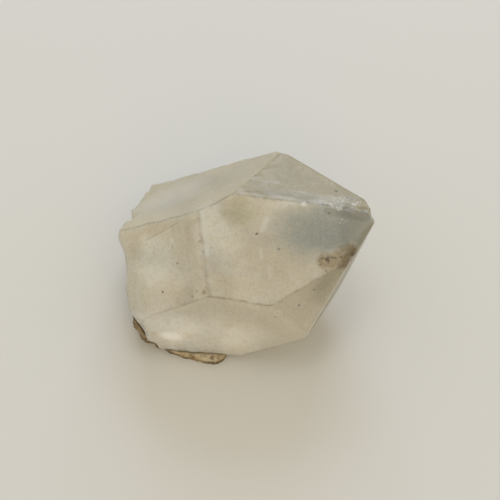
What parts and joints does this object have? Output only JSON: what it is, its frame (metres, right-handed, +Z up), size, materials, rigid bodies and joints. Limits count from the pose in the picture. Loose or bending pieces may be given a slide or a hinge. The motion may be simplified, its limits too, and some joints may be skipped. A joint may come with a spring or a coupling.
{
  "type": "milky quartz crystal point",
  "caption": "Stubby milky quartz point with a hexagonal prism, rhombohedral tip and chipped apex, lying on its broken root with a remnant of brown matrix.",
  "frame": {"origin": "centre of the bounding box at the level of the table that the specimen rests on", "axes": "+Z up from the table, +X along the long side, towards which the crystal's tip points, +Y away from the front prism face"},
  "size_m": [0.0444, 0.0364, 0.0285],
  "materials": {
    "milky_quartz": "smooth glassy faces, milky inside, blue-grey cloud near the tip, brown stain on one corner",
    "iron_stained_matrix": "dull granular rock, tan to dark brown"
  },
  "bodies": {
    "root": {"quartz_crystal": "milky_quartz", "matrix_remnant": "iron_stained_matrix"}
  },
  "joints": []
}
